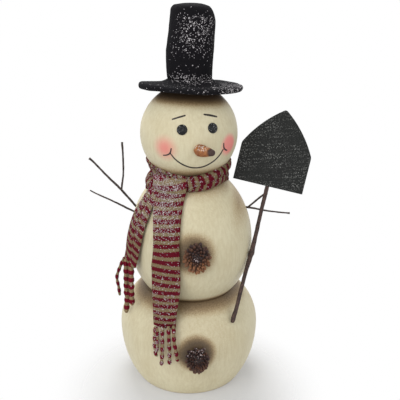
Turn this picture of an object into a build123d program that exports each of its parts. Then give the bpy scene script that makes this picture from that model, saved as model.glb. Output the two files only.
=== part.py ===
"""Wooden snowman figure: three turned and painted wood forms pegged on top of each other, with a felt top hat,
a knitted scarf, twig arms, a shovel and two pine cones for buttons.

Millimetres, +Z up, -Y is the front. The origin is the centre of the base's flat bottom.
"""

from build123d import *
from math import acos, asin, ceil, cos, degrees, pi, radians, sin, sqrt
import os

# ---------------------------------------------------------------- driving dimensions

# Turned base
BASE_RADIUS = 71.6
BASE_FOOT_RADIUS = 54.5
BASE_TOP_RADIUS = 47.0
BASE_BELLY_HEIGHT = 57.0  # widest part over the foot
BASE_SHOULDER_HEIGHT = 45.3  # waist seam over the widest part
FOOT_BEVEL = 1.5

# Turned torso
TORSO_RADIUS = 62.0
TORSO_BELLY_HEIGHT = 48.5  # widest part over the waist seam
TORSO_SHOULDER_HEIGHT = 72.9  # neck seam over the widest part
TORSO_SHIFT = 2.0  # the torso is glued on this far to +X
TORSO_FOOT_RADIUS = 44.2
NECK_RADIUS = 23.5

# Turned head
HEAD_RADIUS = 47.3

# Dowels between the turned forms
WAIST_DOWEL_DIAMETER = 12.0
WAIST_DOWEL_LENGTH = 36.0
NECK_DOWEL_DIAMETER = 10.0
NECK_DOWEL_LENGTH = 28.0
DOWEL_CHAMFER = 1.0
PEG_CLEARANCE = 0.1  # between a peg's side and its hole
HOLE_END_ROOM = 1.0

# Felt hat, leaning about the head's centre
HAT_TILT_BACK = 8.0
HAT_LEAN_RIGHT = 2.4
BRIM_OVER_HEAD_CENTRE = 45.0
BRIM_RADIUS = 50.0
BRIM_THICKNESS = 5.0
BRIM_EDGE = 2.2
FLARE_WIDTH = 12.0  # concave run from the crown's foot out to the flat brim
FLARE_HEIGHT = 4.5
CROWN_RADIUS = 21.0
CROWN_BULGE = 0.8
CROWN_HEIGHT = 67.0
CROWN_DOME = 1.6
CROWN_EDGE = 5.0
FELT = 2.5

# Face. A direction is an azimuth from the front towards +X, and an elevation
LEFT_EYE_DIRECTION = (-8.0, 20.0)
RIGHT_EYE_DIRECTION = (29.6, 20.0)
EYE_DIAMETER = 9.8
EYE_RIM = 0.9
EYE_DOME = 1.8  # over the rim
EYE_DIMPLE_DIAMETER = 3.0
EYE_DIMPLE_DEPTH = 0.5
EYE_SEAT_DEPTH = 0.4
EYE_SHANK_DIAMETER = 3.0
EYE_SHANK_LENGTH = 5.0
NOSE_DIRECTION = (11.2, -3.2)  # where the nose leaves the head
NOSE_POINTING = (36.5, 8.0)
NOSE_DIAMETER = 13.6
NOSE_TIP_DIAMETER = 6.6
NOSE_LENGTH = 22.0
NOSE_SWELL = 0.5  # of its sides
NOSE_TIP_EDGE = 0.9
NOSE_PEG_LENGTH = 8.0

# Pine cones
UPPER_CONE_DIAMETER = 27.0
UPPER_CONE_LENGTH = 17.0
UPPER_CONE_X = 8.5
UPPER_CONE_RISE = 7.2  # over the torso's widest part
UPPER_CONE_POINTING = (-3.0, 17.0)
LOWER_CONE_DIAMETER = 25.0
LOWER_CONE_LENGTH = 19.0
LOWER_CONE_X = 9.0
LOWER_CONE_DROP = 4.0  # under the base's widest part
LOWER_CONE_POINTING = (4.0, 6.0)
CONE_SCALES = 34
SCALE_WIDTH = 7.4
SCALE_THICKNESS = 2.8
CONE_HEART = 0.55  # of the cone's radius, at its seat
HEART_SWELL = 1.08  # of that, where the heart is thickest
STALK_DIAMETER = 4.0
STALK_LENGTH = 5.0
CONE_SEAT_DEPTH = 1.3
SEAT_ROOM = 1.0
GOLDEN_ANGLE = 137.508

# Twig arms. Each leaves the torso at ARM_Y, this far over the torso's widest part, and its bends are measured
# from there
ARM_Y = 2.0
ARM_DIAMETER = 2.3
ARM_KNOB_DIAMETER = 2.8
BRANCH_DIAMETER = 1.9
THIN_TWIG_DIAMETER = 1.7
ARM_HOLE_DEPTH = 9.0
TWIG_SIDES = 9
LEFT_FORK_RISE = 37.2
LEFT_FORK_BENDS = [(-14.8, -1, 16.2), (-28.2, -2, 31.2), (-41.3, -4, 47.3), (-45.0, -4, 50.7)]
LEFT_BRANCH_BENDS = [(-12.5, 1, 32.6), (-12.4, 3, 49.9), (-12.9, 4, 64.5)]
LEFT_PLAIN_UNDER_FORK = 6.8
LEFT_PLAIN_BENDS = [(-20.3, 3, 8.6), (-37.9, 5, 16.4), (-44.4, 6, 19.8)]
RIGHT_FORK_RISE = 33.6
RIGHT_FORK_BEND = (1.6, -0.2, 0.6)
RIGHT_UPPER_BENDS = [(15.5, -5.4, 15.7), (20.4, -5.2, 17.6)]
RIGHT_LOWER_BENDS = [(22.0, 1, -3.9), (39.9, 2, -6.4), (44.4, 2, -6.8)]

# Shovel: a stick for a handle stands on the base, leans on the torso with its knot and carries a flat blade.
# Its bends are measured from its foot or from its knot
FOOT_AZIMUTH = 40.8
FOOT_RISE = 26.6  # over the base's widest part
FOOT_DIAMETER = 4.6
KNOT_AZIMUTH = 67.4  # about the torso's axis
KNOT_DROP = 4.1  # under the torso's widest part
KNOT_DIAMETER = 6.2
HANDLE_CLEARANCE = 0.35
BENDS_FROM_FOOT = [(4.2, 4.2, 15.4)]
BENDS_TO_KNOT = [(-6.9, -10.5, -19.7), (-1.2, -1.6, -4.2)]
BENDS_FROM_KNOT = [(4.3, 7, 16.3), (10.0, 14, 41.8), (15.1, 20, 62.4)]
HANDLE_DIAMETERS = [FOOT_DIAMETER, 4.4, 4.3, 5.0, KNOT_DIAMETER, 4.4, 4.4, 4.2]
HANDLE_TOP_DIAMETER = 4.0
HANDLE_BEHIND_BLADE = 26.0
HANDLE_FLAT = 1.0  # the flat for the blade lies this far from the stick's middle
BLADE_FACING = (0.0, 22.0)
BLADE_RISE = 1.4  # the blade's lower edge over the last point of the handle's route
BLADE_WIDTH = 70.0
BLADE_SIDE = 37.0
BLADE_HEIGHT = 77.2
BLADE_BULGE = 3.2  # of each slanting edge
BLADE_SHOULDER = 7.0
BLADE_TIP = 3.0
BLADE_THICKNESS = 1.6

# Knitted scarf
KNIT = 2.6
WRAP_RADIUS = 39.5
WRAP_ROLL = 6.5  # radius of the lower turn round the neck
WRAP_TOP_ROLL = 5.4
WRAP_RISE = 10.5  # from the lower turn's middle up to the upper turn's
WRAP_OVER_NECK = -1.5  # the lower turn's middle over the neck seam
WRAP_CORE_RADIUS = 26.0
# The front tail's edges, as (x, height over the neck seam)
FRONT_TAIL_LEFT = [(-33.5, 9.3), (-33.0, -23.7), (-33.0, -58.7), (-35.0, -75.7)]
FRONT_TAIL_RIGHT = [(-1.5, 9.3), (-5.5, -18.7), (-8.9, -50.7), (-7.8, -73.7), (-8.0, -98.7), (-11.0, -118.7)]
FRONT_HEM = (-34.0, -12.5)
FRONT_HEM_UNDER_WAIST = 18.3
SIDE_HEM_UNDER_BELLY = 11.8
SIDE_TAIL_AZIMUTH = -60.0
SIDE_TAIL_WIDTH = 29.0
SIDE_TAIL_TOP_WIDTH = 18.0
SIDE_TAIL_WIDE_OVER_BELLY = 30.0  # it is at its full width from here down
SIDE_TAIL_SWING = 5.0  # the hem lies this far further back than the tail's middle
SIDE_HEM_SLANT = 4.0
HEM_STAND_OFF = 6.0  # how far the side tail's hem hangs off the torso
TAIL_LANDING = 17.0  # the tails lie on the torso from this far under the neck seam
STRIP_WIDTH = 4.2
STRIP_LAP = 1.5  # the strips run on into the hem
# Strips, as (across at the hem, across at its end, length)
FRONT_STRIPS = [(-30.6, -33.2, 29), (-25.8, -27.4, 38), (-20.6, -20.0, 38), (-15.6, -13.4, 35)]
SIDE_STRIPS = [(-16.6, -17.4, 44), (-10.0, -10.8, 55), (-2.0, -2.6, 43), (3.4, 3.0, 46)]

# Fits
GLUE_GAP = 0.2
CLOTH_GAP = 0.3

# ---------------------------------------------------------------- heights and ovals that follow


def oval_height(radius, rise, flat_radius):
    """The vertical half-axis of an oval that narrows from radius to flat_radius over rise."""
    return rise / sqrt(1 - (flat_radius / radius) ** 2)


WAIST_Z = BASE_BELLY_HEIGHT + BASE_SHOULDER_HEIGHT
BELLY_Z = WAIST_Z + TORSO_BELLY_HEIGHT
NECK_Z = BELLY_Z + TORSO_SHOULDER_HEIGHT
HEAD_Z = NECK_Z + sqrt(HEAD_RADIUS**2 - NECK_RADIUS**2)
HEAD_CENTRE = Vector(0, 0, HEAD_Z)
BASE_LOW = oval_height(BASE_RADIUS, BASE_BELLY_HEIGHT, BASE_FOOT_RADIUS)
BASE_HIGH = oval_height(BASE_RADIUS, BASE_SHOULDER_HEIGHT, BASE_TOP_RADIUS)
TORSO_LOW = oval_height(TORSO_RADIUS, TORSO_BELLY_HEIGHT, TORSO_FOOT_RADIUS)
TORSO_HIGH = oval_height(TORSO_RADIUS, TORSO_SHOULDER_HEIGHT, NECK_RADIUS)
FRONT_HEM_Z = WAIST_Z - FRONT_HEM_UNDER_WAIST
SIDE_HEM_Z = BELLY_Z - SIDE_HEM_UNDER_BELLY
OVAL_SPANS = 8
CHORD_STRAY = 0.45
CHORD_TURN = 30.0


def base_arc(z_from, z_to, grow=0.0):
    """The base's meridian between two heights on one side of its belly, grown outwards."""
    half = BASE_HIGH if max(z_from, z_to) > BASE_BELLY_HEIGHT else BASE_LOW
    return oval_arc(BASE_RADIUS, half, BASE_BELLY_HEIGHT, z_from, z_to, grow)


def torso_arc(z_from, z_to, grow=0.0):
    """The torso's meridian between two heights on one side of its belly, grown outwards."""
    half = TORSO_HIGH if max(z_from, z_to) > BELLY_Z else TORSO_LOW
    return oval_arc(TORSO_RADIUS, half, BELLY_Z, z_from, z_to, grow)


def oval_arc(radius, half_height, middle, z_from, z_to, grow):
    """A smooth curve along an oval round (0, middle), from one height to another."""
    wide, tall = radius + grow, half_height + grow
    start, end = (asin((z - middle) / tall) for z in (z_from, z_to))
    angles = [start + (end - start) * i / OVAL_SPANS for i in range(OVAL_SPANS + 1)]
    way = 1 if end > start else -1
    ends = [(-way * wide * sin(a), way * tall * cos(a)) for a in (start, end)]
    return Spline([(wide * cos(a), middle + tall * sin(a)) for a in angles], tangents=ends)


def head_arc(z_from, z_to, grow=0.0):
    """The head's meridian between two heights, grown outwards."""
    radius = HEAD_RADIUS + grow
    start, end = (degrees(asin(min(1.0, (z - HEAD_Z) / radius))) for z in (z_from, z_to))
    return CenterArc((0, HEAD_Z), radius, start, end - start)


def chords(curve):
    """Points along a curve: each straight run between them strays CHORD_STRAY and turns CHORD_TURN at most."""
    turn = radians((curve % 0).get_angle(curve % 1))
    step = min(2 * acos(1 - CHORD_STRAY * turn / curve.length), radians(CHORD_TURN))
    count = max(2, ceil(turn / step - 1e-6))
    return [curve @ (i / count) for i in range(count + 1)]


def turned(*pieces):
    """A form turned about the Z axis, from points and curves of its profile in order, cut in narrow cones."""
    points = []
    for piece in pieces:
        points += [Vector(*piece)] if isinstance(piece, tuple) else chords(piece)
    return revolve(Plane.XZ * make_face(Polyline(*without_repeats(points), close=True)), Axis.Z)


def without_repeats(points):
    return [p for i, p in enumerate(points) if (p - points[i - 1]).length > 1e-4]


def pointing(azimuth, elevation):
    """A unit vector: azimuth turns from the front towards +X, elevation towards +Z."""
    a, e = radians(azimuth), radians(elevation)
    return Vector(sin(a) * cos(e), -cos(a) * cos(e), sin(e))


def rod(start, along, diameter, length, back=0.0):
    """A cylinder from start along a direction, and back behind start, for pegs and drilled holes."""
    where = Plane(origin=start - along * back, z_dir=along)
    return where * Cylinder(diameter / 2, length + back, align=(Align.CENTER, Align.CENTER, Align.MIN))


def dowel(diameter, length, middle_z):
    return Pos(0, 0, middle_z) * chamfer(Cylinder(diameter / 2, length).edges(), DOWEL_CHAMFER)


def dowel_hole(diameter, length, middle_z):
    return Pos(0, 0, middle_z) * Cylinder(diameter / 2 + PEG_CLEARANCE, length + 2 * HOLE_END_ROOM)


# ---------------------------------------------------------------- turned forms and their dowels

waist_hole = dowel_hole(WAIST_DOWEL_DIAMETER, WAIST_DOWEL_LENGTH, WAIST_Z)
neck_hole = dowel_hole(NECK_DOWEL_DIAMETER, NECK_DOWEL_LENGTH, NECK_Z)

base_low = base_arc(FOOT_BEVEL, BASE_BELLY_HEIGHT)
base_high = base_arc(BASE_BELLY_HEIGHT, WAIST_Z)
base_ball = turned((0, 0), (BASE_FOOT_RADIUS - FOOT_BEVEL, 0), base_low, base_high, (0, WAIST_Z)) - waist_hole

torso = turned((0, WAIST_Z), torso_arc(WAIST_Z, BELLY_Z), torso_arc(BELLY_Z, NECK_Z), (0, NECK_Z))
torso = Pos(TORSO_SHIFT, 0, 0) * torso
torso = torso - waist_hole - neck_hole

head = turned((0, NECK_Z), head_arc(NECK_Z, HEAD_Z + HEAD_RADIUS)) - neck_hole

waist_dowel = dowel(WAIST_DOWEL_DIAMETER, WAIST_DOWEL_LENGTH, WAIST_Z)
neck_dowel = dowel(NECK_DOWEL_DIAMETER, NECK_DOWEL_LENGTH, NECK_Z)

# ---------------------------------------------------------------- face


def eye_on(direction):
    """A domed button with a dimple on a shank, and the cutter for its seat and hole in the head."""
    along = pointing(*direction)
    seat = Plane(origin=HEAD_CENTRE + along * (HEAD_RADIUS - EYE_SEAT_DEPTH), z_dir=along)
    edge, shank, dimple = EYE_DIAMETER / 2, EYE_SHANK_DIAMETER / 2, EYE_DIMPLE_DIAMETER / 2
    shoulder = ((edge + dimple) / 2, EYE_RIM + 0.75 * EYE_DOME)
    dome = ThreePointArc((edge, EYE_RIM), shoulder, (dimple, EYE_RIM + EYE_DOME))
    bottom = (0, EYE_RIM + EYE_DOME - EYE_DIMPLE_DEPTH)
    button = turned((0, -EYE_SHANK_LENGTH), (shank, -EYE_SHANK_LENGTH), (shank, 0), (edge, 0), dome, bottom)
    cutter = Cylinder(edge + PEG_CLEARANCE, EYE_DOME, align=(Align.CENTER, Align.CENTER, Align.MIN))
    cutter += Cylinder(shank + PEG_CLEARANCE, 2 * (EYE_SHANK_LENGTH + HOLE_END_ROOM))
    return seat * button, seat * cutter


left_eye, left_eye_seat = eye_on(LEFT_EYE_DIRECTION)
right_eye, right_eye_seat = eye_on(RIGHT_EYE_DIRECTION)

nose_along = pointing(*NOSE_POINTING)
nose_root = HEAD_CENTRE + pointing(*NOSE_DIRECTION) * HEAD_RADIUS
nose_tip = NOSE_TIP_DIAMETER / 2
nose_middle = ((NOSE_DIAMETER / 2 + nose_tip) / 2 + NOSE_SWELL, (NOSE_LENGTH - NOSE_TIP_EDGE) / 2)
nose_side = ThreePointArc((NOSE_DIAMETER / 2, 0), nose_middle, (nose_tip, NOSE_LENGTH - NOSE_TIP_EDGE))
nose_edge = CenterArc((nose_tip - NOSE_TIP_EDGE, NOSE_LENGTH - NOSE_TIP_EDGE), NOSE_TIP_EDGE, 0, 90)
nose_peg = (0, -NOSE_PEG_LENGTH), (NOSE_DIAMETER / 2, -NOSE_PEG_LENGTH)
nose = Plane(origin=nose_root, z_dir=nose_along) * turned(*nose_peg, nose_side, nose_edge, (0, NOSE_LENGTH))
nose_drill = NOSE_DIAMETER + 2 * PEG_CLEARANCE
nose_hole = rod(nose_root, -nose_along, nose_drill, NOSE_PEG_LENGTH + HOLE_END_ROOM, NOSE_DIAMETER)

head = head - left_eye_seat - right_eye_seat - nose_hole

# ---------------------------------------------------------------- pine cones


def cone_scale(length, width, thickness):
    """One woody scale along +X: a stem that widens to a rhombic shield with a ridge and a blunt point."""
    stem, belly, ridge = 0.22 * width, 0.72 * length, 0.78 * length
    points = [(0, stem, 0.3 * thickness), (0, -stem, 0.3 * thickness)]
    points += [(0, -stem, -0.3 * thickness), (0, stem, -0.3 * thickness)]
    points += [(belly, width / 2, 0), (belly, -width / 2, 0)]
    points += [(ridge, 0, thickness / 2), (belly, 0, -thickness / 2), (length, 0, 0.1 * thickness)]
    sides = [(0, 1, 2, 3), (0, 6, 1), (1, 6, 5), (5, 6, 8), (8, 6, 4), (4, 6, 0), (3, 2, 7)]
    sides += [(2, 5, 7), (5, 8, 7), (8, 4, 7), (4, 3, 7), (1, 5, 2), (0, 3, 4)]
    return Solid(Shell([Face(Wire.make_polygon([points[i] for i in side])) for side in sides]))


def pine_cone(diameter, length):
    """A cone on the XY plane, pointing to +Z: scales set round a heart by the golden angle close to its tip."""
    radius = diameter / 2
    heart = CONE_HEART * radius
    rings = [(0, 1), (0.4, HEART_SWELL), (0.75, 0.65), (0.95, 0.2)]
    body = loft([Plane.XY.offset(z * length) * RegularPolygon(r * heart, 9) for z, r in rings], ruled=True)
    body += Pos(0, 0, -STALK_LENGTH) * extrude(RegularPolygon(STALK_DIAMETER / 2, 8), STALK_LENGTH)
    scales = []
    for i in range(CONE_SCALES):
        closing = (i + 0.5) / CONE_SCALES * pi / 2  # 0 is wide open, a right angle is closed
        rise = (length - SCALE_THICKNESS) * sin(closing)
        tip = Vector(radius * cos(closing) ** 0.8, 0, SCALE_THICKNESS + rise)
        root = Vector(0.2 * tip.X, 0, 0.6 * tip.Z)
        out = (tip - root).normalized()
        where = Plane(origin=root, x_dir=out, z_dir=Vector(-out.Z, 0, out.X))
        width = SCALE_WIDTH * (0.35 + 0.65 * cos(closing))
        scale = cone_scale((tip - root).length, width, SCALE_THICKNESS)
        scales.append(Rot(0, 0, i * GOLDEN_ANGLE) * where.location * scale)
    cone = body.fuse(*scales)
    return split(cone, Plane.XY.offset(-STALK_LENGTH), keep=Keep.TOP)


def seated_cone(diameter, length, spot, facing):
    """A pine cone with its stalk in a drilled hole, and the cutter for the flat under it and that hole."""
    along = pointing(*facing)
    seat = Plane(origin=spot - along * CONE_SEAT_DEPTH, z_dir=along)
    flat = diameter / 2 * CONE_HEART * HEART_SWELL + SEAT_ROOM
    cutter = Cylinder(flat, length, align=(Align.CENTER, Align.CENTER, Align.MIN))
    cutter += Cylinder(STALK_DIAMETER / 2 + PEG_CLEARANCE, 2 * (STALK_LENGTH + HOLE_END_ROOM))
    return seat * pine_cone(diameter, length), seat * cutter


def torso_radius(z):
    return TORSO_RADIUS * sqrt(1 - ((z - BELLY_Z) / (TORSO_HIGH if z > BELLY_Z else TORSO_LOW)) ** 2)


def torso_front(x, z):
    return Vector(x, -sqrt(torso_radius(z) ** 2 - (x - TORSO_SHIFT) ** 2), z)


def base_radius(z):
    half = BASE_HIGH if z > BASE_BELLY_HEIGHT else BASE_LOW
    return BASE_RADIUS * sqrt(1 - ((z - BASE_BELLY_HEIGHT) / half) ** 2)


def base_front(x, z):
    return Vector(x, -sqrt(base_radius(z) ** 2 - x**2), z)


upper = torso_front(UPPER_CONE_X, BELLY_Z + UPPER_CONE_RISE)
lower = base_front(LOWER_CONE_X, BASE_BELLY_HEIGHT - LOWER_CONE_DROP)
upper_pine_cone, upper_seat = seated_cone(UPPER_CONE_DIAMETER, UPPER_CONE_LENGTH, upper, UPPER_CONE_POINTING)
lower_pine_cone, lower_seat = seated_cone(LOWER_CONE_DIAMETER, LOWER_CONE_LENGTH, lower, LOWER_CONE_POINTING)
torso = torso - upper_seat
base_ball = base_ball - lower_seat

# ---------------------------------------------------------------- twig arms


def stick(points, diameters):
    """A twig: ruled stretches between whittled sections, each square to the bend at its point."""
    points = [Vector(*p) for p in points]
    sections = []
    for i, p in enumerate(points):
        before = (p - points[i - 1]) if i else points[1] - p
        after = (points[i + 1] - p) if i + 1 < len(points) else before
        along = before.normalized() + after.normalized()
        across = Vector(0, 1, 0).cross(along)
        where = Plane(origin=p, x_dir=across, z_dir=along)
        sections.append(where * RegularPolygon(diameters[i] / 2, TWIG_SIDES))
    return loft(sections, ruled=True)


def arm_entry(side, rise):
    """Where an arm leaves the torso, on its -X or +X side."""
    z = BELLY_Z + rise
    return Vector(TORSO_SHIFT + side * sqrt(torso_radius(z) ** 2 - ARM_Y**2), ARM_Y, z)


def bent(start, *bends):
    """Points from their offsets to a start."""
    return [start + Vector(*bend) for bend in bends]


def pegged(entry, towards):
    """The bottom of the hole that an arm stands in, and the drill that makes the hole."""
    outwards = (towards - entry).normalized()
    bottom = entry - outwards * ARM_HOLE_DEPTH
    return bottom, rod(bottom, outwards, ARM_DIAMETER + 2 * PEG_CLEARANCE, 2 * ARM_HOLE_DEPTH, HOLE_END_ROOM)


fork_entry = arm_entry(-1, LEFT_FORK_RISE)
fork = bent(fork_entry, *LEFT_FORK_BENDS)
fork_end, fork_drill = pegged(fork_entry, fork[0])
main = stick([fork_end, *fork], [ARM_DIAMETER, ARM_DIAMETER, 2.1, 1.9, ARM_KNOB_DIAMETER])
branch = stick([fork[0], *bent(fork_entry, *LEFT_BRANCH_BENDS)], [BRANCH_DIAMETER, BRANCH_DIAMETER, 1.7, 2.3])
left_arm_forked_twig = main + branch

plain_entry = arm_entry(-1, LEFT_FORK_RISE - LEFT_PLAIN_UNDER_FORK)
plain = bent(plain_entry, *LEFT_PLAIN_BENDS)
plain_end, plain_drill = pegged(plain_entry, plain[0])
left_arm_plain_twig = stick([plain_end, *plain], [ARM_DIAMETER, THIN_TWIG_DIAMETER, 1.4, 1.0])

right_entry = arm_entry(1, RIGHT_FORK_RISE)
lower_bends = bent(right_entry, RIGHT_FORK_BEND, *RIGHT_LOWER_BENDS)
upper_bends = bent(right_entry, RIGHT_FORK_BEND, *RIGHT_UPPER_BENDS)
right_end, right_drill = pegged(right_entry, lower_bends[0])
lower_prong = stick([right_end, *lower_bends], [ARM_DIAMETER, ARM_DIAMETER, 1.7, 1.5, 2.2])
upper_prong = stick(upper_bends, [BRANCH_DIAMETER, BRANCH_DIAMETER, 1.5])
right_arm_forked_twig = lower_prong + upper_prong

torso = torso - fork_drill - plain_drill - right_drill

# ---------------------------------------------------------------- shovel

foot_z, knot_z = BASE_BELLY_HEIGHT + FOOT_RISE, BELLY_Z - KNOT_DROP
foot_out = base_radius(foot_z) + FOOT_DIAMETER / 2 + HANDLE_CLEARANCE
knot_out = torso_radius(knot_z) + KNOT_DIAMETER / 2 + HANDLE_CLEARANCE
foot = Vector(0, 0, foot_z) + pointing(FOOT_AZIMUTH, 0) * foot_out
knot = Vector(TORSO_SHIFT, 0, knot_z) + pointing(KNOT_AZIMUTH, 0) * knot_out
handle_route = [foot, *bent(foot, *BENDS_FROM_FOOT)]
handle_route += [*bent(knot, *BENDS_TO_KNOT), knot, *bent(knot, *BENDS_FROM_KNOT)]
handle_top = handle_route[-1]
handle_along = (handle_top - handle_route[-2]).normalized()
blade_across = handle_along.cross(pointing(*BLADE_FACING)).normalized()
blade_front = blade_across.cross(handle_along)
blade_back = Plane(origin=handle_top + blade_front * HANDLE_FLAT, x_dir=blade_across, z_dir=blade_front)

half = BLADE_WIDTH / 2
tip = (0, BLADE_RISE + BLADE_HEIGHT)
shoulders = [(side * half, BLADE_RISE + BLADE_SIDE) for side in (1, -1)]
slants = []
for shoulder in shoulders:
    run = Vector(*tip) - Vector(*shoulder)
    outwards = Vector(run.Y, -run.X).normalized() * (1 if shoulder[0] > 0 else -1)
    middle = (Vector(*tip) + Vector(*shoulder)) / 2 + outwards * BLADE_BULGE
    slants.append(ThreePointArc(shoulder, middle, tip))
sides = [Line((half, BLADE_RISE), shoulders[0]), Line(shoulders[1], (-half, BLADE_RISE))]
lower_edge = Line((-half, BLADE_RISE), (half, BLADE_RISE))
blade_face = make_face([sides[0], slants[0], slants[1], sides[1], lower_edge])
corners = blade_face.vertices().sort_by(Axis.Y)
blade_face = fillet(corners[2:4], BLADE_SHOULDER)
blade_face = fillet(blade_face.vertices().sort_by(Axis.Y)[-1], BLADE_TIP)
shovel_blade = extrude(blade_back * blade_face, BLADE_THICKNESS)

handle_end = handle_top + handle_along * HANDLE_BEHIND_BLADE
shovel_handle = stick([*handle_route, handle_end], [*HANDLE_DIAMETERS, HANDLE_TOP_DIAMETER])
saw_cut = Box(BLADE_WIDTH, BLADE_HEIGHT, HANDLE_DIAMETERS[0], align=(Align.CENTER, Align.MIN, Align.MIN))
shovel_handle = shovel_handle - blade_back * Pos(0, BLADE_RISE - GLUE_GAP, 0) * saw_cut

# ---------------------------------------------------------------- felt hat

hat = Pos(HEAD_CENTRE) * Rot(-HAT_TILT_BACK, HAT_LEAN_RIGHT, 0) * Pos(0, 0, BRIM_OVER_HEAD_CENTRE)
hat_seat = HEAD_RADIUS + GLUE_GAP
under, over = -BRIM_THICKNESS / 2, BRIM_THICKNESS / 2
hole = CROWN_RADIUS - FELT
seat_edge = (sqrt(hat_seat**2 - (BRIM_OVER_HEAD_CENTRE + under) ** 2), under)
seat_top = (hole, sqrt(hat_seat**2 - hole**2) - BRIM_OVER_HEAD_CENTRE)
crown_foot = over + FLARE_HEIGHT
low_edge = CenterArc((BRIM_RADIUS - BRIM_EDGE, under + BRIM_EDGE), BRIM_EDGE, -90, 90)
high_edge = CenterArc((BRIM_RADIUS - BRIM_EDGE, over - BRIM_EDGE), BRIM_EDGE, 0, 90)
flare = TangentArc((CROWN_RADIUS + FLARE_WIDTH, over), (CROWN_RADIUS, crown_foot), tangent=(-1, 0))
hat_brim = hat * turned(seat_top, seat_edge, low_edge, high_edge, flare, (hole, crown_foot))


def crown_shape(inset):
    """The crown's bulged and domed form on its foot, or the hollow inside it for an inset."""
    radius, top, edge = CROWN_RADIUS - inset, crown_foot + CROWN_HEIGHT - inset, CROWN_EDGE - inset
    shoulder = top - edge
    bulge = (radius + CROWN_BULGE, (crown_foot + shoulder) / 2)
    wall = ThreePointArc((radius, crown_foot), bulge, (radius, shoulder))
    rounding = CenterArc((radius - edge, shoulder), edge, 0, 90)
    return turned((0, crown_foot), wall, rounding, (0, top + CROWN_DOME))


hat_crown = hat * (crown_shape(0) - crown_shape(FELT))

# ---------------------------------------------------------------- knitted scarf

torso_room = turned((0, BELLY_Z), torso_arc(BELLY_Z, NECK_Z, CLOTH_GAP), (0, NECK_Z))
torso_room = Pos(TORSO_SHIFT, 0, 0) * torso_room
chin_room = turned((0, NECK_Z), head_arc(NECK_Z, HEAD_Z, CLOTH_GAP), (0, HEAD_Z))


def turn_of_scarf(roll, z):
    """One turn round the neck, round outside, reaching in to the wrap's core."""
    middle = WRAP_RADIUS - roll
    bulge = ThreePointArc((middle, z - roll), (WRAP_RADIUS, z), (middle, z + roll))
    return turned((WRAP_CORE_RADIUS, z - roll), bulge, (WRAP_CORE_RADIUS, z + roll))


lower_turn_z = NECK_Z + WRAP_OVER_NECK
wrap = turn_of_scarf(WRAP_ROLL, lower_turn_z) + turn_of_scarf(WRAP_TOP_ROLL, lower_turn_z + WRAP_RISE)
scarf_neck_wrap = wrap - chin_room - torso_room


def shell(profile):
    """Cloth one knit thick, all the way round the Z axis, over a profile that takes how far to grow."""
    return turned(*profile(CLOTH_GAP + KNIT)) - turned(*profile(CLOTH_GAP))


def draped(hem_radius, hem_z):
    """Cloth that hangs from the neck over the torso."""

    def profile(grow):
        over_wrap = WRAP_RADIUS + TORSO_SHIFT + grow
        top, leave = lower_turn_z + WRAP_RISE, lower_turn_z - WRAP_ROLL / 2
        shoulder = torso_arc(NECK_Z - TAIL_LANDING, BELLY_Z, grow)
        return (0, top), (over_wrap, top), (over_wrap, leave), shoulder, (hem_radius + grow, hem_z), (0, hem_z)

    return Pos(TORSO_SHIFT, 0, 0) * shell(profile)


def seen_from(azimuth, points, cloth):
    """The part of the cloth inside an outline of points across and up, seen from an azimuth."""
    facing = pointing(azimuth, 0)
    view = Plane(origin=(0, 0, 0), x_dir=(-facing.Y, facing.X, 0), z_dir=facing)
    return cloth & extrude(view * make_face(Polyline(*points, close=True)), 2 * BASE_RADIUS)


def fringe(azimuth, strips, hem_z, cloth):
    """Strips cut into the hem: each (across at the hem, across at its end, length)."""
    cut = []
    for at_hem, at_end, length in strips:
        left, right = -STRIP_WIDTH / 2, STRIP_WIDTH / 2
        top, end = hem_z + STRIP_LAP, hem_z - length
        corners = [(at_hem + left, top), (at_end + left, end), (at_end + right, end), (at_hem + right, top)]
        cut.append(seen_from(azimuth, corners, cloth))
    return cut


def longest(strips):
    return max(length for at_hem, at_end, length in strips)


def base_hang(grow):
    """The strips' way down over the base to its belly, and straight down from there."""
    top, low = FRONT_HEM_Z + STRIP_LAP, FRONT_HEM_Z - longest(FRONT_STRIPS) - STRIP_LAP
    over = base_arc(top, BASE_BELLY_HEIGHT, grow + TORSO_SHIFT / 2)
    return (0, top), over, (BASE_RADIUS + grow + TORSO_SHIFT / 2, low), (0, low)


def side_hang(grow):
    """The strips' way straight down from the side tail's hem."""
    top, low = SIDE_HEM_Z + STRIP_LAP, SIDE_HEM_Z - longest(SIDE_STRIPS) - STRIP_LAP
    radius = TORSO_RADIUS + HEM_STAND_OFF + grow
    return (0, top), (radius, top), (radius, low), (0, low)


hem_on_base = (base_arc(FRONT_HEM_Z, WAIST_Z) @ 0).X + TORSO_SHIFT / 2
left_edge = [(x, NECK_Z + over) for x, over in FRONT_TAIL_LEFT]
right_edge = [(x, NECK_Z + over) for x, over in FRONT_TAIL_RIGHT]
front_outline = [*left_edge, *[(x, FRONT_HEM_Z) for x in FRONT_HEM], *reversed(right_edge)]
scarf_front_tail = seen_from(0, front_outline, draped(hem_on_base, FRONT_HEM_Z))
scarf_front_tail = scarf_front_tail.fuse(*fringe(0, FRONT_STRIPS, FRONT_HEM_Z, shell(base_hang)))

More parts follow.
